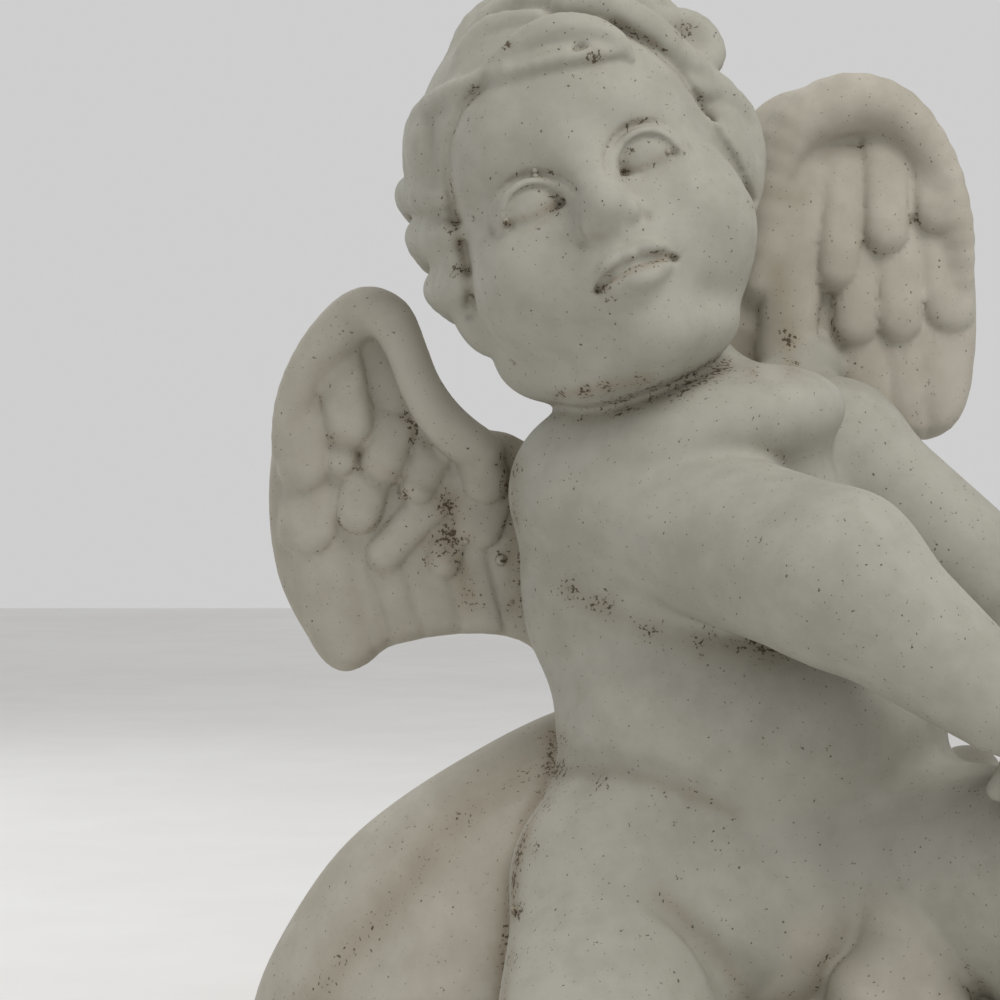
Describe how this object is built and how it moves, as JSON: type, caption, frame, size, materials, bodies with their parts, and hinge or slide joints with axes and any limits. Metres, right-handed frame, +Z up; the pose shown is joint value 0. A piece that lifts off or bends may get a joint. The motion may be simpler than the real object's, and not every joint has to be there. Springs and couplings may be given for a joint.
{
  "type": "statue",
  "caption": "Cast-stone winged infant seated on a cloth-covered rock, both hands on its raised knee, head leaning, on a low oval base.",
  "frame": {"origin": "centre of the bounding box in plan, at the flat underside of the base", "axes": "+Z up; -Y is the front, where the chest and face look; +X is to the right seen from the front"},
  "size_m": [0.2476, 0.182, 0.3426],
  "materials": {
    "cast_stone": "matt, weathered, with brown dirt in the hollows"
  },
  "bodies": {
    "root": {"putto": "cast_stone"}
  },
  "joints": []
}
